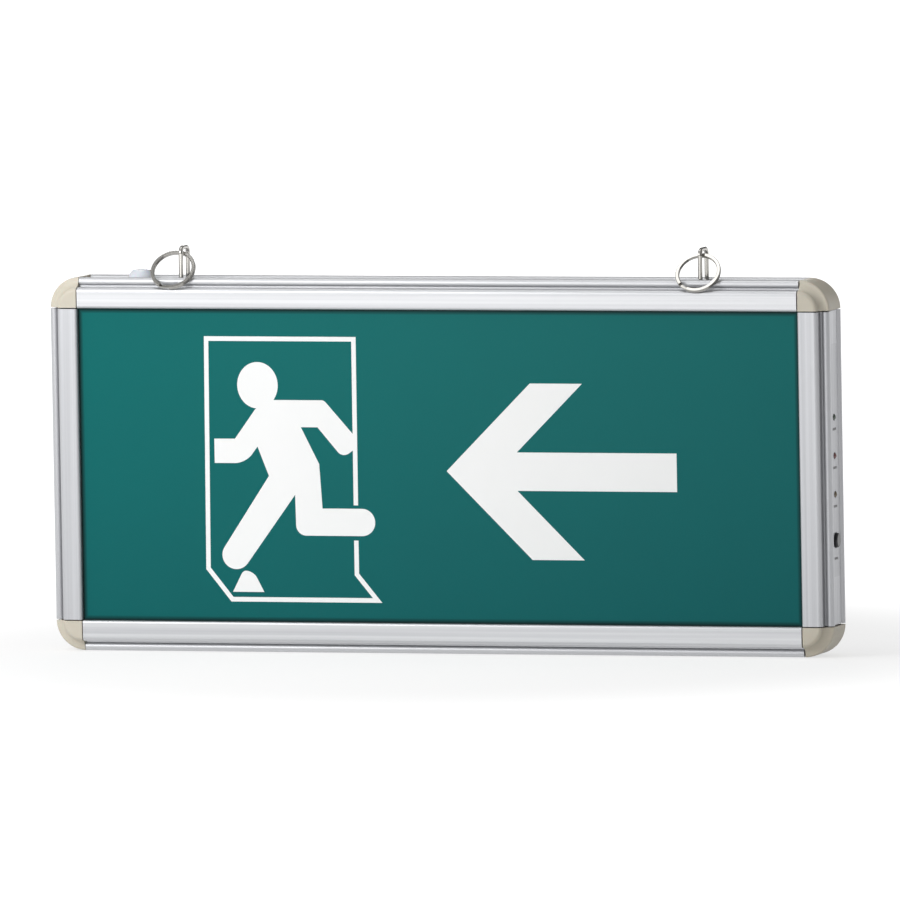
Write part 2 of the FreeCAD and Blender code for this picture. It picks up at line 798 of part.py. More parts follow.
def make_battery():
    """Sleeved pack of cells side by side: one sealed piece."""
    y = inside_y - cell_r
    z0 = battery_z - cell_len / 2
    pack = None
    for i in range(cell_count):
        x = battery_x + (i - (cell_count - 1) / 2) * 2 * cell_r
        cell = cylinder(cell_r, cell_len, V(x, y, z0), Z_AXIS)
        pack = cell if pack is None else pack.fuse(cell)
    span = (cell_count - 1) * cell_r
    sleeve = cell_r * 0.45
    web = block(battery_x - span, battery_x + span, y - sleeve, y + sleeve, z0, z0 + cell_len)
    strap, rivets = battery_clip()
    return {
        "battery_pack": pack.fuse(web).removeSplitter(),
        "battery_clip": strap,
        "clip_rivets": rivets,
    }


def lead(points):
    """Round lead along straight runs joined by tangent arcs."""
    edges = []
    here = points[0]
    for before, corner, after in zip(points, points[1:], points[2:]):
        way_in = (corner - before).normalize()
        way_out = (after - corner).normalize()
        half_turn = way_in.getAngle(way_out) / 2
        cut = lead_bend * math.tan(half_turn)
        start = corner - way_in * cut
        end = corner + way_out * cut
        bisector = (way_out - way_in).normalize()
        centre = corner + bisector * (lead_bend / math.cos(half_turn))
        middle = centre - bisector * lead_bend
        edges.append(Part.LineSegment(here, start).toShape())
        edges.append(Part.Arc(start, middle, end).toShape())
        here = end
    edges.append(Part.LineSegment(here, points[-1]).toShape())
    path = Part.Wire(edges)
    heading = (points[1] - points[0]).normalize()
    circle = Part.Wire([Part.makeCircle(lead_r, points[0], heading)])
    return path.makePipeShell([circle], True, False)


def make_leads(plugs):
    """Lead pairs from the board's plugs to the battery and to the light strip."""
    y = inside_y - cell_r
    pairs = {"battery_leads": [], "strip_leads": []}
    pack_low = battery_z - cell_len / 2
    for i in range(2):
        step = (i - 0.5) * lead_gap
        box = plugs["battery_plug"].BoundBox
        z = (box.ZMin + box.ZMax) / 2 + step
        plug_y = (box.YMin + box.YMax) / 2
        x = battery_x + (cell_count - 1) * cell_r + step
        pairs["battery_leads"].append(lead([
            V(box.XMin, plug_y, z), V(x + lead_slant, plug_y, z),
            V(x, y, z), V(x, y, pack_low)]))
        box = plugs["strip_plug"].BoundBox
        z = (box.ZMin + box.ZMax) / 2 + step
        x = board_x0 - strip_lead_out + step
        pairs["strip_leads"].append(lead([
            V(box.XMin, plug_y, z), V(x, plug_y, z), V(x, plug_y, rail_wall_z - strip_t)]))
    return {name: Part.makeCompound(solids) for name, solids in pairs.items()}


def build():
    nodes = {}
    for part in (make_rails(), make_caps(), make_sheets(), make_light_strip(), make_hangers(),
                 make_rings(), make_grommet(), make_controls(), make_board(), make_components(),
                 make_battery()):
        nodes.update(part)
    nodes.update(make_leads(nodes))
    return nodes


def main():
    os.makedirs("parts", exist_ok=True)
    nodes = build()
    for name, shape in nodes.items():
        shape.exportStep("parts/" + name + ".step")
    print(len(nodes), "nodes; rings lean", round(ring_lean(), 2), "degrees")


main()
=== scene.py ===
"""Looks of a hanging emergency exit light: finishes, sign print, side label, studio and camera.

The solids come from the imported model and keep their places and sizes.  This script gives
each of them its finish, prints the safety sign on the front panel, lays a plain label round
the lamps on the right rail and sets up the studio.  Lengths are in metres unless a name
ends in _mm.
"""

from __future__ import annotations

import json
import logging
import math
from dataclasses import dataclass
from enum import Enum
from typing import Union

import bpy
from mathutils import Matrix, Vector

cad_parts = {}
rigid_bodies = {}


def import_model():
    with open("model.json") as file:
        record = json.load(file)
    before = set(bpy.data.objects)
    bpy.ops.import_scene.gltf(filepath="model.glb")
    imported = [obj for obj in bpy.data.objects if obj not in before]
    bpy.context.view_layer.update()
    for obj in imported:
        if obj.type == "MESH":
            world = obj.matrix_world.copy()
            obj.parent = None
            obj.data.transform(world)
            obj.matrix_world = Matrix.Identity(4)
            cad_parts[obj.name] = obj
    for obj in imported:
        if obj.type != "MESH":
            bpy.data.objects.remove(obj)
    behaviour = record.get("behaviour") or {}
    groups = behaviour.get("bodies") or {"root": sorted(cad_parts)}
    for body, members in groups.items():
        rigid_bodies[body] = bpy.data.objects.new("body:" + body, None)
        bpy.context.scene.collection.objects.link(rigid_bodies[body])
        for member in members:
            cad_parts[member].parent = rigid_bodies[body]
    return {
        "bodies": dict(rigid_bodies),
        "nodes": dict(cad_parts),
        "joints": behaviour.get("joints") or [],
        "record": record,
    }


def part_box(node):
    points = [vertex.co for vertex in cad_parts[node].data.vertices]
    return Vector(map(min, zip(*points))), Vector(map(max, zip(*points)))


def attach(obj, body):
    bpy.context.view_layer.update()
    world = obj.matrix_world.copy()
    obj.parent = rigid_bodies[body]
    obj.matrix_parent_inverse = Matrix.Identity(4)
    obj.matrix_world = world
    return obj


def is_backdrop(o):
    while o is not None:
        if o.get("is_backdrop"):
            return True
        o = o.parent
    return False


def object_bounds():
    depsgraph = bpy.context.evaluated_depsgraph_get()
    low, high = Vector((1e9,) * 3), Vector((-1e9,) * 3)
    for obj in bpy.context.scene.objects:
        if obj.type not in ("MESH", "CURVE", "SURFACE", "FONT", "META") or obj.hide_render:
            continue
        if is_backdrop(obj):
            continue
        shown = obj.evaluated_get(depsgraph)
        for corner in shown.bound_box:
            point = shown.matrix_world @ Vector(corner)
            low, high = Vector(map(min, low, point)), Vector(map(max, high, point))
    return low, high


LOG = logging.getLogger("exit_light")
MM = 0.001
WHITE = (1.0, 1.0, 1.0, 1.0)
CENTRE = (0.0, 0.0, 0.0)
RIGHT = Vector((1.0, 0.0, 0.0)).freeze()
FORWARD = Vector((0.0, -1.0, 0.0)).freeze()
REARWARD = Vector((0.0, 1.0, 0.0)).freeze()
UP = Vector((0.0, 0.0, 1.0)).freeze()
# Points closer than the merge reach become one, a vertex within the corner reach of a place
# is that corner, and the punch is the solid that cuts a hole through a film.
MERGE_REACH = 0.00001
CORNER_REACH = 0.00003
PUNCH_LENGTH = 0.004

Pair = tuple[float, float]
Triple = tuple[float, float, float]
Colour = tuple[float, float, float, float]
Socket = bpy.types.NodeSocket
Piece = bpy.types.Object
Source = Union[Socket, float, Triple, Colour]


class Run(Enum):
    """The way a drawn surface's fine lines run: their stretch along each axis."""

    ALONG_X = (6.0, 1400.0, 1400.0)
    ALONG_Z = (1400.0, 1400.0, 6.0)


class Skin(Enum):
    """How a moulded surface is grained: the bumps' scale and their height in metres."""

    SMOOTH = (900.0, 0.000004)
    FINE = (2200.0, 0.000012)
    COARSE = (1300.0, 0.00003)


class Curve(Enum):
    """How a value goes from one end of its range to the other."""

    STRAIGHT = "LINEAR"
    SMOOTH = "SMOOTHSTEP"


class Change(Enum):
    """What a second solid does to a film."""

    JOIN = "UNION"
    CUT = "DIFFERENCE"


def linear(red: int, green: int, blue: int) -> Colour:
    """Turn a display colour into the values that a shader takes.

    Args:
        red: Red from 0 to 255.
        green: Green from 0 to 255.
        blue: Blue from 0 to 255.

    Returns:
        The colour as linear red, green, blue and full alpha.
    """
    shares = [value / 255.0 for value in (red, green, blue)]
    values = [share / 12.92 if share <= 0.04045 else ((share + 0.055) / 1.055) ** 2.4
              for share in shares]
    return values[0], values[1], values[2], 1.0


# ---- node building ----


class Board:
    """Adds nodes to one shader tree and joins them."""

    def __init__(self, tree: bpy.types.NodeTree) -> None:
        """Keep the tree.

        Args:
            tree: The tree that the nodes go to.
        """
        self.tree = tree

    def add(self, kind: str, **settings: object) -> bpy.types.Node:
        """Add a node.

        Args:
            kind: The node's class name after "ShaderNode".
            settings: Attributes to set on the node.

        Returns:
            The new node.
        """
        node = self.tree.nodes.new("ShaderNode" + kind)
        for name, value in settings.items():
            setattr(node, name, value)
        return node

    def feed(self, socket: Socket, value: Source) -> None:
        """Link an input to another node's output, or set its constant.

        Args:
            socket: The input.
            value: The output or the constant.
        """
        if isinstance(value, Socket):
            self.tree.links.new(value, socket)
        else:
            socket.default_value = value

    def math(self, operation: str, *values: Source) -> Socket:
        """Add a Math node.

        Args:
            operation: The node's operation.
            values: What its inputs take, in order.

        Returns:
            The node's output.
        """
        node = self.add("Math", operation=operation)
        for socket, value in zip(node.inputs, values):
            self.feed(socket, value)
        return node.outputs[0]

    def noise(self, vector: Source, scale: Source, detail: float,
              roughness: float = 0.5) -> Socket:
        """Add a Noise Texture node.

        Args:
            vector: Where the noise is read.
            scale: How fine it is.
            detail: How many finer layers it has.
            roughness: How strong those layers are.

        Returns:
            The noise, about 0 to 1.
        """
        node = self.add("TexNoise")
        for label, value in (("Vector", vector), ("Scale", scale), ("Detail", detail),
                             ("Roughness", roughness)):
            self.feed(node.inputs[label], value)
        return node.outputs["Fac"]

    def spread(self, value: Source, reach: Pair, ends: Pair = (0.0, 1.0),
               curve: Curve = Curve.STRAIGHT) -> Socket:
        """Turn one range of values into another that stays within its ends.

        Args:
            value: The value to turn.
            reach: Where the change begins and ends.
            ends: The result at the beginning and at the end.
            curve: How it goes from one end to the other.

        Returns:
            The result.
        """
        node = self.add("MapRange", interpolation_type=curve.value)
        self.feed(node.inputs["Value"], value)
        for label, limit in zip(("From Min", "From Max", "To Min", "To Max"), reach + ends):
            self.feed(node.inputs[label], limit)
        return node.outputs["Result"]

    def blend(self, share: Source, first: Source, second: Source) -> Socket:
        """Mix two colours.

        Args:
            share: How much there is of the second colour.
            first: The first colour.
            second: The second colour.

        Returns:
            The mixed colour.
        """
        node = self.add("Mix", data_type="RGBA")
        for label, value in (("Factor", share), ("A", first), ("B", second)):
            self.feed(node.inputs[label], value)
        return node.outputs["Result"]

    def group(self, tree: bpy.types.NodeTree, **values: Source) -> bpy.types.Node:
        """Place a node group with its own values.

        Args:
            tree: The group.
            values: What its inputs take, with spaces in their names as underscores.

        Returns:
            The group node.
        """
        node = self.add("Group", node_tree=tree)
        for name, value in values.items():
            self.feed(node.inputs[name.replace("_", " ")], value)
        return node


class Effects:
    """The shader node groups that several finishes share, each built once."""

    def __init__(self) -> None:
        """Build the groups."""
        self.grain = self._grain()
        self.drawn = self._drawn()
        self.wear = self._wear()
        self.frame = self._frame()

    @staticmethod
    def _start(name: str, inputs: dict[str, float | Triple], outputs: list[str]) -> tuple:
        """Begin a group.

        Args:
            name: The group's name.
            inputs: First value for each input, which is a number or a vector as its value is.
            outputs: Names of the float outputs.

        Returns:
            The tree, its board, its input node and its output node.
        """
        tree = bpy.data.node_groups.new(name, "ShaderNodeTree")
        for label, value in inputs.items():
            kind = "NodeSocketFloat" if isinstance(value, float) else "NodeSocketVector"
            socket = tree.interface.new_socket(label, in_out="INPUT", socket_type=kind)
            socket.default_value = value
        for label in outputs:
            tree.interface.new_socket(label, in_out="OUTPUT", socket_type="NodeSocketFloat")
        board = Board(tree)
        return tree, board, tree.nodes.new("NodeGroupInput"), tree.nodes.new("NodeGroupOutput")

    def _grain(self) -> bpy.types.NodeTree:
        """Build a fine moulded or cast grain with slow patches.

        Returns:
            The group, with the outputs Height and Patch.
        """
        tree, board, start, end = self._start(
            "moulded grain", {"Vector": CENTRE, "Scale": 1500.0}, ["Height", "Patch"])
        vector = start.outputs["Vector"]
        fine = board.noise(vector, start.outputs["Scale"], detail=3.0)
        slow = board.noise(vector, scale=28.0, detail=4.0)
        board.feed(end.inputs["Height"], fine)
        board.feed(end.inputs["Patch"], slow)
        return tree

    def _drawn(self) -> bpy.types.NodeTree:
        """Build the lines that extruding and brushing leave.

        Returns:
            The group, with the outputs Lines and Bands.
        """
        tree, board, start, end = self._start(
            "drawn lines", {"Vector": CENTRE, "Stretch": (1.0, 1.0, 1.0)}, ["Lines", "Bands"])
        stretched = board.add("VectorMath", operation="MULTIPLY")
        board.feed(stretched.inputs[0], start.outputs["Vector"])
        board.feed(stretched.inputs[1], start.outputs["Stretch"])
        place = stretched.outputs[0]
        board.feed(end.inputs["Lines"], board.noise(place, scale=2.2, detail=2.0))
        board.feed(end.inputs["Bands"], board.noise(place, scale=0.5, detail=1.0))
        return tree

    def _wear(self) -> bpy.types.NodeTree:
        """Build handling marks, which are sparse fine scuffs.

        Returns:
            The group, with the output Mask.
        """
        tree, board, start, end = self._start(
            "handling marks", {"Vector": CENTRE, "Scale": 120.0}, ["Mask"])
        marks = board.noise(start.outputs["Vector"], start.outputs["Scale"], detail=8.0,
                            roughness=0.7)
        board.feed(end.inputs["Mask"], board.spread(marks, reach=(0.58, 0.72)))
        return tree

    def _frame(self) -> bpy.types.NodeTree:
        """Build a mask that rises from 0 to 1 towards the edges of an upright rectangle.

        Returns:
            The group, with the output Mask.
        """
        tree, board, start, end = self._start(
            "edge of a rectangle",
            {"Vector": CENTRE, "Half Width": 0.1, "Half Height": 0.1, "Middle Height": 0.0,
             "Band": 0.002},
            ["Mask"],
        )
        apart = board.add("SeparateXYZ")
        board.feed(apart.inputs[0], start.outputs["Vector"])
        sideways = board.math("ABSOLUTE", apart.outputs["X"])
        side = board.math("SUBTRACT", start.outputs["Half Width"], sideways)
        level = board.math("SUBTRACT", apart.outputs["Z"], start.outputs["Middle Height"])
        rise = board.math("SUBTRACT", start.outputs["Half Height"], board.math("ABSOLUTE", level))
        nearest = board.math("MINIMUM", side, rise)
        inside = board.add("Clamp")
        board.feed(inside.inputs["Value"], board.math("DIVIDE", nearest, start.outputs["Band"]))
        board.feed(end.inputs["Mask"], board.math("SUBTRACT", 1.0, inside.outputs[0]))
        return tree


class Surface:
    """One material being built: its board, its shader and its object coordinates."""

    def __init__(self, name: str) -> None:
        """Start an empty material with a Principled shader.

        Args:
            name: The material's name.
        """
        self.material = bpy.data.materials.new(name)
        self.material.use_nodes = True
        self.board = Board(self.material.node_tree)
        self.shader = self.material.node_tree.nodes["Principled BSDF"]
        self.place = self.board.add("TexCoord").outputs["Object"]

    def set(self, **values: Source) -> None:
        """Feed the shader.

        Args:
            values: What its inputs take, with spaces in their names as underscores.
        """
        for name, value in values.items():
            self.board.feed(self.shader.inputs[name.replace("_", " ")], value)

    def pattern(self, effect: bpy.types.NodeTree, **values: Source) -> bpy.types.NodeOutputs:
        """Place a shared effect in object coordinates.

        Args:
            effect: The effect's node group.
            values: What its other inputs take.

        Returns:
            The effect's outputs.
        """
        return self.board.group(effect, Vector=self.place, **values).outputs

    def tint(self, mask: Source, low: Colour, high: Colour, contrast: float) -> None:
        """Colour the surface between two colours.

        Args:
            mask: The value that goes from the first colour at 0 to the second at 1.
            low: The first colour.
            high: The second colour.
            contrast: Contrast of the mask about its middle.
        """
        reach = (0.5 - 0.5 / contrast, 0.5 + 0.5 / contrast)
        self.set(Base_Color=self.board.blend(self.board.spread(mask, reach), low, high))

    def rough(self, mask: Source, low: float, high: float) -> None:
        """Let the roughness follow a mask.

        Args:
            mask: The value that goes from the first roughness at 0 to the second at 1.
            low: The first roughness.
            high: The second roughness.
        """
        self.set(Roughness=self.board.spread(mask, (0.0, 1.0), (low, high)))

    def bump(self, height: Source, distance: float, strength: float = 1.0) -> None:
        """Raise the surface by a height field.

        Args:
            height: The field, from 0 to 1.
            distance: How high 1 stands, in metres.
            strength: How much of it shows.
        """
        node = self.board.add("Bump")
        for label, value in (("Distance", distance), ("Strength", strength), ("Height", height)):
            self.board.feed(node.inputs[label], value)
        self.set(Normal=node.outputs["Normal"])


# ---- finishes ----


@dataclass(frozen=True)
class Finish:
    """A look that a material is built from."""

    name: str

    def build(self, effects: Effects) -> bpy.types.Material:
        """Build the material.

        Args:
            effects: The shared node groups.

        Returns:
            The material.
        """
        surface = Surface(self.name)
        self.paint(surface, effects)
        return surface.material

    def paint(self, surface: Surface, effects: Effects) -> None:
        """Give a surface its look, in each kind of finish's own way.

        Args:
            surface: The surface being built.
            effects: The shared node groups.
        """
        raise NotImplementedError


@dataclass(frozen=True)
class DrawnAluminium(Finish):
    """Satin anodised aluminium with the fine lines of its extrusion."""

    run: Run
    dark: Colour
    light: Colour
    roughness: float = 0.46
    unevenness: float = 0.07
    contrast: float = 2.6
    wear_scale: float = 90.0
    wear_share: float = 0.25
    line_depth: float = 0.000006
    line_strength: float = 0.5
    metallic: float = 0.82
    stretch_of_shine: float = 0.35

    def paint(self, surface: Surface, effects: Effects) -> None:
        """Draw the lines in colour, roughness and height.

        Args:
            surface: The surface being built.
            effects: The shared node groups.
        """
        drawn = surface.pattern(effects.drawn, Stretch=self.run.value)
        wear = surface.pattern(effects.wear, Scale=self.wear_scale)
        surface.tint(drawn["Bands"], self.dark, self.light, self.contrast)
        worn = surface.board.math("MULTIPLY", wear["Mask"], self.wear_share)
        uneven = surface.board.math("ADD", drawn["Lines"], worn)
        surface.rough(uneven, self.roughness - self.unevenness, self.roughness + self.unevenness)
        surface.bump(drawn["Lines"], self.line_depth, self.line_strength)
        surface.set(Metallic=self.metallic, Anisotropic=self.stretch_of_shine)


@dataclass(frozen=True)
class PrintedAcrylic(Finish):
    """Acrylic printed in one colour, with painted light from the top left and a painted shadow
    along its edge.
    """

    # upper and lower are one green, lighter at the top as painted light.
    upper: Colour
    lower: Colour
    # edge is the colour of the painted shadow where the frame meets the print.
    edge: Colour
    half_width: float
    half_height: float
    middle_height: float
    # How far the painted shadow reaches in from the frame and how it fades.
    shadow_band: float = 0.0022
    shadow_band_curve: float = 0.7
    painted_light_lean: float = -0.9
    patchiness: float = 0.22
    grain_scale: float = 2600.0
    grain_depth: float = 0.000002
    gloss: Pair = (0.24, 0.34)
    refraction: float = 1.49
    shine: float = 0.09

    def paint(self, surface: Surface, effects: Effects) -> None:
        """Paint light on the print, lighter at the head and the left, and paint a shadow along its
        edge.

        Args:
            surface: The surface being built.
            effects: The shared node groups.
        """
        board = surface.board
        grain = surface.pattern(effects.grain, Scale=self.grain_scale)
        apart = board.add("SeparateXYZ")
        board.feed(apart.inputs[0], surface.place)
        # Painted light: lighter towards the head and the left, darker towards the foot and the
        # right, as the lamps fall from the top left; the patches are random tone.
        level = board.math("DIVIDE", apart.outputs["Z"], 2 * self.middle_height)
        painted_light_lean = board.math("MULTIPLY", apart.outputs["X"], self.painted_light_lean)
        patch = board.math("MULTIPLY", grain["Patch"], self.patchiness)
        shade = board.math("ADD", board.math("ADD", level, painted_light_lean), patch)
        # Painted shadow: the print darkens near the frame, where the lip shades the panel and is
        # mirrored in it.
        painted_shadow_rim = surface.pattern(effects.frame, Half_Width=self.half_width,
                              Half_Height=self.half_height, Middle_Height=self.middle_height,
                              Band=self.shadow_band)
        body = board.blend(shade, self.lower, self.upper)
        painted_shadow_share = board.math("POWER", painted_shadow_rim["Mask"], self.shadow_band_curve)
        surface.set(Base_Color=board.blend(painted_shadow_share, body, self.edge))
        surface.rough(grain["Height"], *self.gloss)
        surface.bump(grain["Height"], self.grain_depth)
        surface.set(IOR=self.refraction, Specular_IOR_Level=self.shine)


@dataclass(frozen=True)
class Grained(Finish):
    """Two close colours in slow patches, under a fine grain that makes the gloss uneven.

    Where wear_scale isn't 0, the gloss follows the handling marks instead of the grain.
    """

    dark: Colour
    light: Colour
    roughness: float = 0.5
    roughness_gain: float = 0.12
    contrast: float = 2.0
    grain_scale: float = 1000.0
    grain_depth: float = 0.0
    wear_scale: float = 0.0

    def paint(self, surface: Surface, effects: Effects) -> None:
        """Colour, dull and grain the surface.

        Args:
            surface: The surface being built.
            effects: The shared node groups.
        """
        scale, depth = self.grain()
        grain = surface.pattern(effects.grain, Scale=scale)
        surface.tint(grain["Patch"], self.dark, self.light, self.contrast)
        mask = grain["Height"]
        if self.wear_scale:
            mask = surface.pattern(effects.wear, Scale=self.wear_scale)["Mask"]
        surface.rough(mask, self.roughness, self.roughness + self.roughness_gain)
        if depth:
            surface.bump(grain["Height"], depth)
        surface.set(**self.constants())

    def grain(self) -> Pair:
        """Return the grain's scale and its height in metres."""
        return self.grain_scale, self.grain_depth

    def constants(self) -> dict[str, float]:
        """Return what the shader's other inputs take."""
        return {}


@dataclass(frozen=True)
class Moulded(Grained):
    """Moulded plastic."""

    contrast: float = 1.8
    wear_scale: float = 160.0
    skin: Skin = Skin.FINE
    soft: float = 0.0
    soft_depth: float = 0.001

    def grain(self) -> Pair:
        """Return the skin's grain."""
        return self.skin.value

    def constants(self) -> dict[str, float]:
        """Return how deep light goes in."""
        return {"Subsurface_Weight": self.soft, "Subsurface_Scale": self.soft_depth}


@dataclass(frozen=True)
class Ink(Grained):
    """Opaque screen print."""

    roughness: float = 0.38
    roughness_gain: float = 0.14
    contrast: float = 1.4
    grain_scale: float = 3000.0
    grain_depth: float = 0.000003
    shine: float = 0.3

    def constants(self) -> dict[str, float]:
        """Return how strongly it mirrors."""
        return {"Specular_IOR_Level": self.shine}


@dataclass(frozen=True)
class Plated(Grained):
    """Bright or dull plated metal."""

    roughness: float = 0.08
    roughness_gain: float = 0.22
    grain_scale: float = 1800.0
    grain_depth: float = 0.000004
    wear_scale: float = 700.0

    def constants(self) -> dict[str, float]:
        """Return that it is metal."""
        return {"Metallic": 1.0}


@dataclass(frozen=True)
class Lens(Grained):
    """Tinted diffused lamp body."""

    roughness: float = 0.12
    roughness_gain: float = 0.08
    grain_scale: float = 900.0
    coat: float = 0.4
    coat_roughness: float = 0.05

    def constants(self) -> dict[str, float]:
        """Return its clear coat."""
        return {"Coat_Weight": self.coat, "Coat_Roughness": self.coat_roughness}


@dataclass(frozen=True)
class Clear(Grained):
    """Clear or milky sheet that lets light through."""

    roughness_gain: float = 0.06
    contrast: float = 1.0
    grain_scale: float = 1200.0
    through: float = 0.85
    refraction: float = 1.49

    def constants(self) -> dict[str, float]:
        """Return how it bends light and how much goes through."""
        return {"IOR": self.refraction, "Transmission_Weight": self.through}


# ---- modelling ----


@dataclass(frozen=True)
class Corner:
    """A corner of a flat outline in millimetres, with the radius that rounds it."""

    x_mm: float
    z_mm: float
    round_mm: float = 0.0


@dataclass(frozen=True)
class FlatCutter:
    """Draws upright closed outlines and makes them thin films on a surface.

    The outlines' zero is the origin, which lies on that surface.  They run level along
    across, and the surface faces outward.  A rounded corner has as many edges as segments.
    """

    origin: Vector
    thickness: float
    across: Vector = RIGHT
    outward: Vector = FORWARD
    segments: int = 10
    ellipse_edges: int = 64
    hole_edges: int = 48

    def point(self, corner: Corner) -> Vector:
        """Find a corner's place.

        Args:
            corner: The corner.

        Returns:
            Its place on the surface.
        """
        return self.origin + self.across * (corner.x_mm * MM) + UP * (corner.z_mm * MM)

    def outline(self, name: str, corners: list[Corner]) -> Piece:
        """Draw a closed outline by pulling a point round it, then fill and thicken it.

        Args:
            name: The piece's name.
            corners: The outline's corners, in order.

        Returns:
            The film.
        """
        places = [self.point(corner) for corner in corners]
        bpy.ops.object.select_all(action="DESELECT")
        bpy.ops.mesh.primitive_plane_add(size=MM, location=CENTRE)
        piece = self._open(name)
        bpy.ops.mesh.merge(type="CENTER")
        bpy.ops.transform.translate(value=places[0])
        for before, after in zip(places, places[1:] + places[:1]):
            bpy.ops.mesh.extrude_vertices_move(TRANSFORM_OT_translate={"value": after - before})
        bpy.ops.mesh.select_all(action="SELECT")
        bpy.ops.mesh.remove_doubles(threshold=MERGE_REACH)
        bpy.ops.mesh.select_all(action="SELECT")
        bpy.ops.mesh.edge_face_add()
        for corner, place in zip(corners, places):
            if corner.round_mm > 0.0:
                self._round(piece, place, corner.round_mm * MM)
        self._thicken()
        return piece

    def ellipse(self, name: str, middle: Corner, half_width_mm: float,
                half_height_mm: float) -> Piece:
        """Draw an ellipse and make it a film.

        Args:
            name: The piece's name.
            middle: Its middle.
            half_width_mm: Half its width.
            half_height_mm: Half its height.

        Returns:
            The film.
        """
        bpy.ops.object.select_all(action="DESELECT")
        bpy.ops.mesh.primitive_circle_add(vertices=self.ellipse_edges, radius=1.0,
                                          fill_type="NGON", location=CENTRE)
        piece = self._open(name)
        bpy.ops.transform.rotate(value=math.pi / 2, orient_axis="X", center_override=CENTRE)
        bpy.ops.transform.resize(value=(half_width_mm * MM, 1.0, half_height_mm * MM),
                                 center_override=CENTRE)
        bpy.ops.transform.translate(value=self.point(middle))
        self._thicken()
        return piece

    def pierce(self, piece: Piece, middle: Corner, radius_mm: float) -> None:
        """Cut a round hole through a film.

        Args:
            piece: The film.
            middle: The hole's middle.
            radius_mm: The hole's radius.
        """
        turn = UP.rotation_difference(self.outward).to_euler()
        bpy.ops.object.select_all(action="DESELECT")
        bpy.ops.mesh.primitive_cylinder_add(vertices=self.hole_edges, radius=radius_mm * MM,
                                            depth=PUNCH_LENGTH, location=self.point(middle),
                                            rotation=turn)
        self.combine(piece, bpy.context.object, Change.CUT)

    @staticmethod
    def combine(piece: Piece, other: Piece, change: Change) -> None:
        """Join a second solid to a film, or cut it away, and remove the second solid.

        Args:
            piece: The film.
            other: The second solid.
            change: Whether it is joined or cut away.
        """
        bpy.ops.object.select_all(action="DESELECT")
        bpy.context.view_layer.objects.active = piece
        piece.select_set(True)
        modifier = piece.modifiers.new("combine", "BOOLEAN")
        modifier.operation = change.value
        modifier.solver = "EXACT"
        modifier.object = other
        bpy.ops.object.modifier_apply(modifier=modifier.name)
        bpy.data.objects.remove(other, do_unlink=True)

    @staticmethod
    def _open(name: str) -> Piece:
        """Name the new primitive and open it in edit mode with all of it selected.

        Args:
            name: The piece's name.

        Returns:
            The piece.
        """
        piece = bpy.context.object
        piece.name = name
        bpy.ops.object.mode_set(mode="EDIT")
        bpy.ops.mesh.select_mode(type="VERT")
        bpy.ops.mesh.select_all(action="SELECT")
        return piece

    def _round(self, piece: Piece, place: Vector, radius: float) -> None:
        """Round one corner of a flat face.

        Args:
            piece: The piece, in edit mode.
            place: The corner's place.
            radius: The corner's radius.
        """
        bpy.ops.mesh.select_all(action="DESELECT")
        bpy.ops.object.mode_set(mode="OBJECT")
        for vertex in piece.data.vertices:
            vertex.select = (vertex.co - place).length < CORNER_REACH
        bpy.ops.object.mode_set(mode="EDIT")
        bpy.ops.mesh.bevel(offset=radius, offset_type="OFFSET", segments=self.segments,
                           affect="VERTICES", clamp_overlap=True)

    def _thicken(self) -> None:
        """Pull the open piece's flat face forward into a film and leave edit mode."""
        bpy.ops.mesh.select_all(action="SELECT")
        bpy.ops.mesh.extrude_region_move(
            TRANSFORM_OT_translate={"value": self.outward * self.thickness})
        bpy.ops.mesh.select_all(action="SELECT")
        bpy.ops.mesh.normals_make_consistent(inside=False)
        bpy.ops.object.mode_set(mode="OBJECT")


def stroke(path: list[Pair], width_mm: float) -> list[Corner]:
    """Give the outline of a line of even width with mitred corners.

    Args:
        path: The line's points in millimetres.
        width_mm: The line's width.

    Returns:
        The outline's corners.
    """
    points = [Vector(point) for point in path]
    headings = [(after - before).normalized() for before, after in zip(points, points[1:])]
    headings = [headings[0]] + headings + [headings[-1]]
    left: list[Corner] = []
    right: list[Corner] = []
    for point, heading_in, heading_out in zip(points, headings, headings[1:]):
        across_in = Vector((-heading_in.y, heading_in.x))
        across_out = Vector((-heading_out.y, heading_out.x))
        mitre = (across_in + across_out).normalized()
        reach = width_mm / 2 / mitre.dot(across_in)
        left.append(Corner(point.x + mitre.x * reach, point.y + mitre.y * reach))
        right.append(Corner(point.x - mitre.x * reach, point.y - mitre.y * reach))
    return left + right[::-1]


def plate(half_mm: float, low_mm: float, high_mm: float, round_mm: float) -> list[Corner]:
    """Give the outline of an upright rectangle with rounded corners.

    Args:
        half_mm: Half its width.
        low_mm: Height of its lower edge.
        high_mm: Height of its upper edge.
        round_mm: Radius of its corners.

    Returns:
        The outline's corners.
    """
    return [
        Corner(-half_mm, low_mm, round_mm),
        Corner(half_mm, low_mm, round_mm),
        Corner(half_mm, high_mm, round_mm),
        Corner(-half_mm, high_mm, round_mm),
    ]


def middle_height_mm(node: str) -> float:
    """Measure the height of a solid's middle.

    Args:
        node: The solid's name.

    Returns:
        The height in millimetres.
    """
    low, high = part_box(node)
    return (low.z + high.z) / 2 / MM


def dress(piece: Piece, material: bpy.types.Material) -> None:
    """Give every slot of a piece one material.

    Args:
        piece: The piece.
        material: The material.
    """
    if not piece.material_slots:
        piece.data.materials.append(material)
    for slot in piece.material_slots:
        slot.material = material


# ---- sub-assemblies ----


Looks = tuple[tuple[Finish, tuple[str, ...]], ...]


@dataclass
class Assembly:
    """Solids that belong together, listed by their finish."""

    looks: Looks = ()

    def finish(self, frame: dict, effects: Effects) -> list[Piece]:
        """Build each finish and give it to its solids.

        Args:
            effects: The shared node groups.

        Returns:
            The dressed pieces.
        """
        pieces = []
        for finish, names in self.looks:
            material = finish.build(effects)
            for name in names:
                dress(frame["nodes"][name], material)
                pieces.append(frame["nodes"][name])
        return pieces


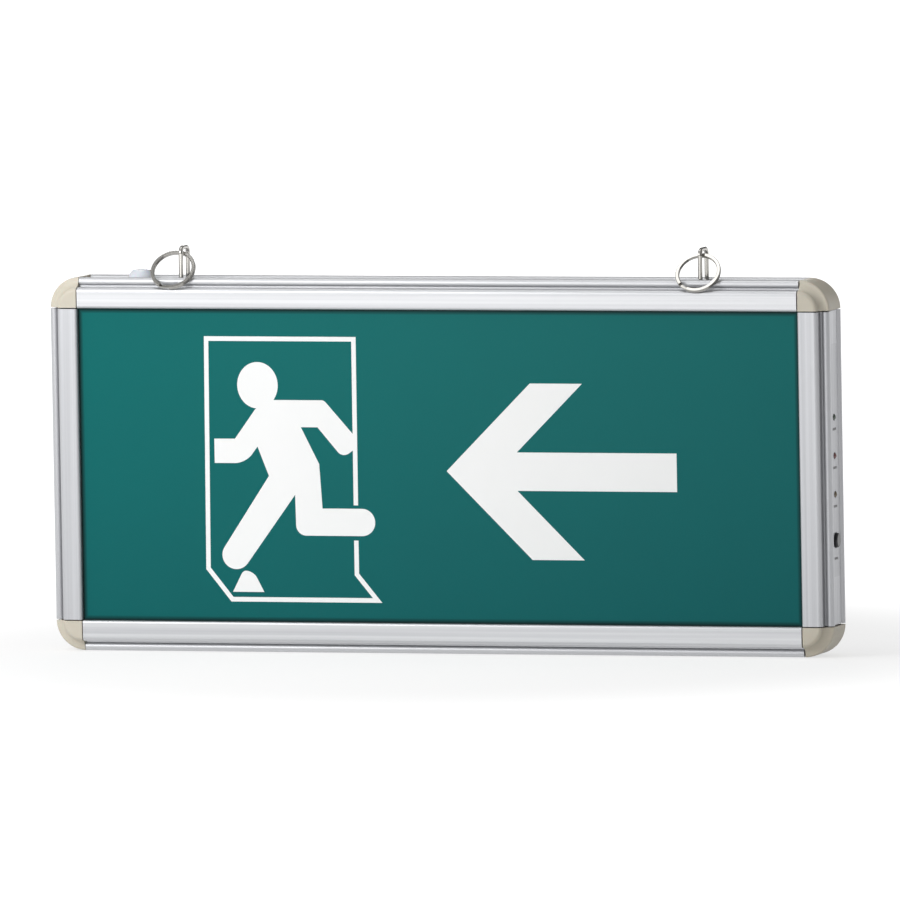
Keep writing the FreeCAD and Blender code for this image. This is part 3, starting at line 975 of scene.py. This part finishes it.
@dataclass
class RailFrame(Assembly):
    """The four aluminium rails and the moulded caps that join them."""

    looks: Looks = (
        # One aluminium in two copies: the level rails' colours are lighter as painted light and the
        # upright rails' darker as painted shade; the lines run along each rail.
        (DrawnAluminium("anodised aluminium, level, lighter as painted light", Run.ALONG_X, linear(189, 190, 193),
                        linear(208, 209, 211)),
         ("top_rail", "bottom_rail")),
        (DrawnAluminium("anodised aluminium, upright, darker as painted shade", Run.ALONG_Z, linear(177, 178, 181),
                        linear(195, 196, 199)),
         ("left_rail", "right_rail")),
        (Moulded("ivory moulding", linear(199, 191, 174), linear(217, 211, 196), 0.48,
                 soft=0.05),
         ("corner_cap_top_left", "corner_cap_top_right", "corner_cap_bottom_left",
          "corner_cap_bottom_right")),
    )


@dataclass
class SafetySign(Assembly):
    """The printed sign panel: green ground, running figure in a doorway, direction arrow."""

    panel: str = "sign_panel"
    body: str = "housing"
    # upper and lower are one green, lighter at the top as painted light from the top left.
    upper: Colour = linear(8, 107, 105)
    lower: Colour = linear(12, 96, 97)
    # edge is the painted shadow round the print, where the frame's lip shades the panel.
    edge: Colour = linear(3, 24, 24)
    ink: Ink = Ink("white print", linear(250, 251, 250), linear(254, 254, 254))
    film: float = 0.00005
    head: Corner = Corner(83.0, 105.0)
    head_half_width_mm: float = 9.4
    head_half_height_mm: float = 10.3
    line_mm: float = 2.05
    door_left_mm: float = 59.2
    door_right_mm: float = 127.9
    door_top_mm: float = 125.6
    door_foot_mm: float = 9.9
    arrow_tip_mm: float = 170.0
    arrow_length_mm: float = 106.0
    arrow_middle_mm: float = 67.5
    arrow_head_mm: float = 39.0
    arrow_stroke_mm: float = 17.0

    def finish(self, frame: dict, effects: Effects) -> list[Piece]:
        """Dress the panel and print the sign on it.

        Args:
            effects: The shared node groups.

        Returns:
            The panel and the printed films.
        """
        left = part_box("left_rail")[1].x
        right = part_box("right_rail")[0].x
        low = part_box("bottom_rail")[1].z
        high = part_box("top_rail")[0].z
        surface_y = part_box(self.panel)[0].y
        ground = PrintedAcrylic("printed green acrylic, painted light and shadow", self.upper, self.lower, self.edge,
                                (right - left) / 2, (high - low) / 2, (high + low) / 2)
        panel = frame["nodes"][self.panel]
        dress(panel, ground.build(effects))
        films = self.cut_films(FlatCutter(Vector((left, surface_y, low)), self.film))
        white = self.ink.build(effects)
        for piece in films:
            dress(piece, white)
            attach(piece, self.body)
        return [panel] + films

    def cut_films(self, cutter: FlatCutter) -> list[Piece]:
        """Cut the sign's white films.

        Args:
            cutter: What cuts them, with its zero at the opening's lower left corner.

        Returns:
            The films.
        """
        figure = cutter.outline("sign_figure_in_doorway", self.figure())
        head = cutter.ellipse("head", self.head, self.head_half_width_mm,
                              self.head_half_height_mm)
        cutter.combine(figure, head, Change.JOIN)
        cutter.combine(figure, cutter.outline("door", self.door_line()), Change.JOIN)
        mound = cutter.outline("sign_ground_mound", self.mound())
        return [figure, mound, cutter.outline("sign_direction_arrow", self.arrow())]

    def door_line(self) -> list[Corner]:
        """Draw the doorway's line, open behind the rear leg.

        Returns:
            The line's outline.
        """
        return stroke([
            (self.door_right_mm - 0.2, 52.0),
            (self.door_right_mm, self.door_top_mm),
            (self.door_left_mm + 0.3, self.door_top_mm),
            (self.door_left_mm - 0.5, 23.5),
            (69.6, self.door_foot_mm),
            (137.0, self.door_foot_mm),
            (self.door_right_mm - 0.3, 21.4),
            (self.door_right_mm - 0.3, 36.4),
        ], self.line_mm)

    def figure(self) -> list[Corner]:
        """Draw the running figure below its head.

        Returns:
            The figure's outline.
        """
        spots = (
            (81.7, 94.3), (72.1, 81.2), (62.5, 81.2), (62.5, 70.4), (77.0, 70.4, 5.0),
            (82.5, 77.8), (87.6, 64.8), (62.9, 27.9, 6.2), (73.3, 20.9, 6.2), (99.6, 56.5),
            (99.9, 38.4, 4.6), (136.5, 38.4, 6.0), (136.5, 50.5, 6.0), (112.2, 50.5),
            (111.0, 70.2), (102.8, 86.5), (110.5, 86.5), (122.0, 73.0, 3.4), (127.4, 76.8),
            (127.4, 83.0), (113.7, 98.5, 1.2), (88.0, 98.5),
        )
        return [Corner(*spot) for spot in spots]

    def mound(self) -> list[Corner]:
        """Draw the small rounded mound under the leading foot.

        Returns:
            The mound's outline.
        """
        spots = ((69.9, 13.2), (84.5, 13.2), (79.6, 22.6, 3.4), (74.8, 22.6, 3.4))
        return [Corner(*spot) for spot in spots]

    def arrow(self) -> list[Corner]:
        """Draw a plain direction arrow that points the way the figure runs.

        Returns:
            The arrow's outline.
        """
        tip = self.arrow_tip_mm
        end = tip + self.arrow_length_mm
        mid = self.arrow_middle_mm
        head = self.arrow_head_mm
        half = self.arrow_stroke_mm / 2
        slant = self.arrow_stroke_mm * math.sqrt(2.0)
        notch = tip + slant + half
        return [
            Corner(tip, mid),
            Corner(tip + head, mid + head),
            Corner(tip + head + slant, mid + head),
            Corner(notch, mid + half),
            Corner(end, mid + half),
            Corner(end, mid - half),
            Corner(notch, mid - half),
            Corner(tip + head + slant, mid - head),
            Corner(tip + head, mid - head),
        ]


@dataclass
class HangingFittings(Assembly):
    """Wire loops, split rings and the cable grommet on the top rail."""

    looks: Looks = (
        # The nickel's colours are darker than bright nickel: painted dark reflection, standing in
        # for dark surroundings mirrored in the wire; the patches are random tone.
        (Plated("bright nickel plate", linear(146, 144, 140), linear(200, 198, 193)),
         ("hanger_loop_left", "hanger_loop_right", "split_ring_left", "split_ring_right")),
        (Moulded("pale grommet moulding", linear(205, 210, 219), linear(226, 230, 236),
                 0.36, skin=Skin.SMOOTH, soft=0.15),
         ("cable_grommet",)),
    )


@dataclass
class SideControls(Assembly):
    """Indicator lamps, test button and the plain label round them on the right rail."""

    looks: Looks = (
        (Lens("amber lens", linear(96, 84, 66), linear(128, 112, 86)),
         ("indicator_lamp_fault",)),
        (Lens("red lens", linear(104, 62, 62), linear(136, 84, 82)),
         ("indicator_lamp_charge",)),
        (Lens("green lens", linear(70, 84, 72), linear(92, 108, 94)),
         ("indicator_lamp_mains",)),
        (Moulded("black button", linear(16, 18, 21), linear(26, 28, 32), 0.3, skin=Skin.SMOOTH),
         ("test_button",)),
    )
    body: str = "housing"
    lamps: tuple[str, ...] = ("indicator_lamp_fault", "indicator_lamp_charge",
                              "indicator_lamp_mains")
    button: str = "test_button"
    foil: DrawnAluminium = DrawnAluminium("silver label foil", Run.ALONG_Z,
                                          linear(168, 169, 172), linear(180, 181, 184), 0.42)
    ink: Ink = Ink("grey print", linear(104, 104, 106), linear(118, 118, 120))
    channel_mm: float = 1.3
    label_low_mm: float = 35.0
    label_high_mm: float = 137.6
    label_half_mm: float = 5.6
    label_film: float = 0.00005
    label_round_mm: float = 1.2
    lamp_hole_mm: float = 1.9
    button_hole_mm: float = 3.7
    mark_film: float = 0.00002
    mark_half_mm: float = 2.7
    mark_thick_mm: float = 1.1
    mark_round_mm: float = 0.4
    mark_below_lamp_mm: float = 5.2
    mark_below_button_mm: float = 8.0

    def finish(self, frame: dict, effects: Effects) -> list[Piece]:
        """Dress the controls, lay the label in the channel and print it.

        Args:
            effects: The shared node groups.

        Returns:
            The controls, the label and its marks.
        """
        pieces = super().finish(frame, effects)
        face_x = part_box("right_rail")[1].x - self.channel_mm * MM
        pieces.append(self._label(face_x, effects))
        return pieces + self._marks(face_x + self.label_film, effects)

    def _label(self, face_x: float, effects: Effects) -> Piece:
        """Lay the plain silver label, with a hole round each control.

        Args:
            face_x: Where the channel's floor lies.
            effects: The shared node groups.

        Returns:
            The label.
        """
        cutter = FlatCutter(Vector((face_x, 0.0, 0.0)), self.label_film, REARWARD, RIGHT)
        label = cutter.outline("side_label", plate(self.label_half_mm, self.label_low_mm,
                                                   self.label_high_mm, self.label_round_mm))
        for name in self.lamps:
            cutter.pierce(label, Corner(0.0, middle_height_mm(name)), self.lamp_hole_mm)
        cutter.pierce(label, Corner(0.0, middle_height_mm(self.button)), self.button_hole_mm)
        dress(label, self.foil.build(effects))
        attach(label, self.body)
        return label

    def _marks(self, face_x: float, effects: Effects) -> list[Piece]:
        """Print a short level grey dash under each control.

        Args:
            face_x: Where the label's face lies.
            effects: The shared node groups.

        Returns:
            The dashes.
        """
        printer = FlatCutter(Vector((face_x, 0.0, 0.0)), self.mark_film, REARWARD, RIGHT)
        grey = self.ink.build(effects)
        drops = {name: self.mark_below_lamp_mm for name in self.lamps}
        drops[self.button] = self.mark_below_button_mm
        marks = []
        for name, drop in drops.items():
            level = middle_height_mm(name) - drop
            thick = self.mark_thick_mm / 2
            mark = printer.outline("side_mark_" + name, plate(
                self.mark_half_mm, level - thick, level + thick, self.mark_round_mm))
            dress(mark, grey)
            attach(mark, self.body)
            marks.append(mark)
        return marks


@dataclass
class Works(Assembly):
    """The back cover and what the housing holds: sheets, driver board, battery and leads."""

    looks: Looks = (
        (Moulded("back cover sheet", linear(208, 209, 211), linear(214, 215, 217),
                 0.5, skin=Skin.COARSE), ("back_cover",)),
        (Clear("opal sheet", linear(234, 238, 238), linear(242, 245, 245), 0.35, through=0.25),
         ("diffuser_sheet",)),
        (Clear("clear guide plate", linear(232, 242, 242), linear(240, 248, 248), 0.05),
         ("light_guide",)),
        (Moulded("white film", linear(238, 239, 238), linear(246, 247, 246), 0.6, skin=Skin.SMOOTH),
         ("reflector_sheet", "light_strip_board")),
        (Moulded("insulating board", linear(120, 118, 112), linear(140, 138, 131),
                 0.7), ("insulation_sheet",)),
        (Moulded("green circuit board", linear(18, 88, 44), linear(26, 104, 54),
                 0.3, skin=Skin.SMOOTH), ("driver_board",)),
        (Lens("chip phosphor", linear(222, 196, 86), linear(238, 214, 110)),
         ("light_strip_chips",)),
        (Plated("zinc plate", linear(160, 163, 165), linear(198, 200, 201), 0.3),
         ("hanger_clamps", "hanger_nuts", "board_screws", "terminal_screws", "battery_clip",
          "clip_rivets")),
        (Moulded("ferrite", linear(46, 46, 49), linear(62, 62, 66), 0.7, skin=Skin.COARSE),
         ("transformer_core",)),
        (Moulded("winding tape", linear(206, 172, 46), linear(222, 188, 60),
                 0.35, skin=Skin.SMOOTH), ("transformer_coil",)),
        (Moulded("capacitor sleeve", linear(30, 36, 66), linear(42, 50, 84),
                 0.3, skin=Skin.SMOOTH), ("capacitor_cans",)),
        (Moulded("film capacitor case", linear(150, 44, 34), linear(168, 56, 44),
                 0.3, skin=Skin.SMOOTH), ("film_capacitor",)),
        (Moulded("black moulding", linear(24, 24, 26), linear(36, 36, 38), 0.5),
         ("control_chip", "test_switch")),
        (Moulded("white moulding", linear(222, 221, 215), linear(234, 233, 228),
                 0.45), ("board_spacers", "battery_plug", "strip_plug")),
        (Moulded("green terminal moulding", linear(34, 118, 74), linear(44, 132, 86),
                 0.45), ("mains_terminal",)),
        (Clear("fuse glass", linear(228, 233, 233), linear(238, 242, 242), 0.05, through=0.6),
         ("mains_fuse",)),
        (Moulded("battery sleeve", linear(36, 82, 142), linear(48, 96, 158),
                 0.28, skin=Skin.SMOOTH), ("battery_pack",)),
        (Moulded("lead insulation", linear(168, 34, 30), linear(184, 46, 40),
                 0.4, skin=Skin.SMOOTH), ("battery_leads", "strip_leads")),
    )


# ---- studio ----


@dataclass(frozen=True)
class Zone:
    """A value that changes over the surroundings with how far a direction points to a side."""

    side: Triple
    reach: Pair
    ends: Pair

    def value(self, board: Board) -> Socket:
        """Work out the value for the direction of each ray.

        Args:
            board: The world's board.

        Returns:
            The value, which goes from one end to the other over the reach.
        """
        toward = board.add("VectorMath", operation="DOT_PRODUCT")
        board.feed(toward.inputs[0], board.add("TexCoord").outputs["Generated"])
        board.feed(toward.inputs[1], self.side)
        return board.spread(toward.outputs["Value"], self.reach, self.ends, Curve.SMOOTH)


@dataclass(frozen=True)
class StudioLamp:
    """A round soft lamp: its place, its width and its power in watts."""

    name: str
    place: Triple
    width: float
    power: float

    def hang(self, target: Vector) -> None:
        """Hang the lamp.

        Args:
            target: Where it points.
        """
        lamp = bpy.data.lights.new(self.name, "AREA")
        lamp.shape = "DISK"
        lamp.size = self.width
        lamp.energy = self.power
        holder = bpy.data.objects.new(self.name, lamp)
        holder.location = self.place
        aim = target - Vector(self.place)
        holder.rotation_euler = aim.to_track_quat("-Z", "Y").to_euler()
        bpy.context.scene.collection.objects.link(holder)


@dataclass
class Studio:
    """White surroundings, pale floor, soft lamps and the camera."""

    azimuth_deg: float = 17.4
    elevation_deg: float = 4.5
    roll_deg: float = -1.0
    distance: float = 9.0
    lens_mm: float = 815.0
    sensor_mm: float = 36.0
    aim_right: float = 0.0016
    aim_up: float = 0.0065
    floor_size: float = 14.0
    floor_gap: float = 0.0002
    floor_shade: float = 0.8
    floor_glow: float = 1.2
    shadow_reach: float = 0.18
    white_reach: float = 0.4
    least_glow: float = 0.55
    soft_light: Zone = Zone((-0.42, -0.66, 0.62), (-0.9, 1.0), (0.03, 0.57))
    dark_above: Zone = Zone((-0.25, 0.54, 0.8), (0.4, 0.8), (1.0, 0.08))
    dark_right: Zone = Zone((0.86, -0.46, 0.22), (0.35, 0.7), (1.0, 0.05))
    lamp_target: Triple = (0.0, 0.0, 0.08)
    lamps: tuple[StudioLamp, ...] = (
        StudioLamp("key lamp", (-0.4, -0.55, 0.42), 0.3, 2.15),
        StudioLamp("front lamp", (-0.3, -1.2, 0.12), 0.4, 1.15),
        StudioLamp("rear lamp", (0.9, 1.1, 0.3), 0.5, 0.9),
        StudioLamp("top lamp", (-0.2, -0.1, 1.1), 0.5, 1.6),
        StudioLamp("back lamp", (-0.5, 1.4, 0.4), 0.6, 4.0),
    )

    def build(self, level: float) -> None:
        """Set up the stage round the object.

        Args:
            level: Height of the object's lowest point.
        """
        bpy.context.scene.view_settings.view_transform = "Standard"
        self._world()
        self._floor(level - self.floor_gap)
        for lamp in self.lamps:
            lamp.hang(Vector(self.lamp_target))
        self._camera()

    def _world(self) -> None:
        """Make the surroundings white to the eye, dark in places to metal, and a soft light.

        Metal mirrors them as white, apart from the zones above and to the right, which give
        round wire its dark lines.  As light on the object they are weak and come from the
        key lamp's side.
        """
        world = bpy.data.worlds.new("white studio")
        world.use_nodes = True
        bpy.context.scene.world = world
        board = Board(world.node_tree)
        seen, mirrored = self._rays(board)
        shine = board.math("MULTIPLY", self.dark_above.value(board), self.dark_right.value(board))
        shown = board.math("MAXIMUM", seen, board.math("MULTIPLY", mirrored, shine))
        back = world.node_tree.nodes["Background"]
        board.feed(back.inputs["Strength"],
                   board.math("MAXIMUM", shown, self.soft_light.value(board)))
        board.feed(back.inputs["Color"], WHITE)

    @staticmethod
    def _rays(board: Board) -> tuple[Socket, Socket]:
        """Tell the rays that show the surroundings from those that light the object.

        Args:
            board: The board of the world or of the floor.

        Returns:
            1 for rays from the eye, straight or through something clear, and 1 for mirrored
            rays.
        """
        path = board.add("LightPath").outputs
        seen = board.math("MAXIMUM", path["Is Camera Ray"], path["Is Transmission Ray"])
        return seen, path["Is Glossy Ray"]

    def _floor(self, level: float) -> None:
        """Lay a pale floor that keeps the object's shadow and turns white away from it.

        Args:
            level: The floor's height.
        """
        bpy.ops.object.select_all(action="DESELECT")
        bpy.ops.mesh.primitive_plane_add(size=self.floor_size, location=(0.0, 0.0, level))
        floor = bpy.context.object
        floor.name = "floor"
        surface = Surface("pale floor")
        board = surface.board
        shade = (self.floor_shade, self.floor_shade, self.floor_shade, 1.0)
        surface.set(Base_Color=shade, Roughness=1.0, Specular_IOR_Level=0.0)
        glow = board.add("Emission")
        board.feed(glow.inputs["Color"], WHITE)
        board.feed(glow.inputs["Strength"], self.floor_glow)
        away = board.add("VectorMath", operation="LENGTH")
        board.feed(away.inputs[0], surface.place)
        fade = board.spread(away.outputs["Value"], (self.shadow_reach, self.white_reach),
                            (self.least_glow, 1.0), Curve.SMOOTH)
        shown = board.math("MAXIMUM", *self._rays(board))
        mix = board.add("MixShader")
        board.feed(mix.inputs[0], board.math("MULTIPLY", shown, fade))
        board.feed(mix.inputs[1], surface.shader.outputs[0])
        board.feed(mix.inputs[2], glow.outputs[0])
        output = surface.material.node_tree.nodes["Material Output"]
        board.feed(output.inputs["Surface"], mix.outputs[0])
        dress(floor, surface.material)
        floor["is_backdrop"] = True

    def _camera(self) -> None:
        """Stand the camera at the right front, a little above the sign's middle."""
        azimuth = math.radians(self.azimuth_deg)
        elevation = math.radians(self.elevation_deg)
        roll = math.radians(self.roll_deg)
        away = Vector((math.sin(azimuth) * math.cos(elevation),
                       -math.cos(azimuth) * math.cos(elevation), math.sin(elevation)))
        level_right = (-away).cross(UP).normalized()
        level_up = level_right.cross(-away)
        right = level_right * math.cos(roll) + level_up * math.sin(roll)
        up = level_up * math.cos(roll) - level_right * math.sin(roll)
        low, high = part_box("sign_panel")
        target = (low + high) / 2
        target.y = 0.0
        place = target + right * self.aim_right + up * self.aim_up + away * self.distance
        camera = bpy.data.objects.new("camera", bpy.data.cameras.new("camera"))
        camera.data.lens = self.lens_mm
        camera.data.sensor_width = self.sensor_mm
        turn = Matrix((right, up, away)).transposed()
        camera.matrix_world = Matrix.Translation(place) @ turn.to_4x4()
        bpy.context.scene.collection.objects.link(camera)
        bpy.context.scene.camera = camera


def main() -> None:
    """Load the solids, dress them, print the sign and set the stage."""
    logging.basicConfig(level=logging.INFO, format="%(name)s: %(message)s")
    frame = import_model()
    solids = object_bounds()
    effects = Effects()
    for part in (RailFrame(), SafetySign(), HangingFittings(), SideControls(), Works()):
        for piece in part.finish(frame, effects):
            LOG.info("%s: %s in %s", type(part).__name__, piece.name,
                     piece.active_material.name)
    Studio().build(Vector(solids[0]).z)
    LOG.info("sizes noted")


if __name__ == "__main__":
    main()
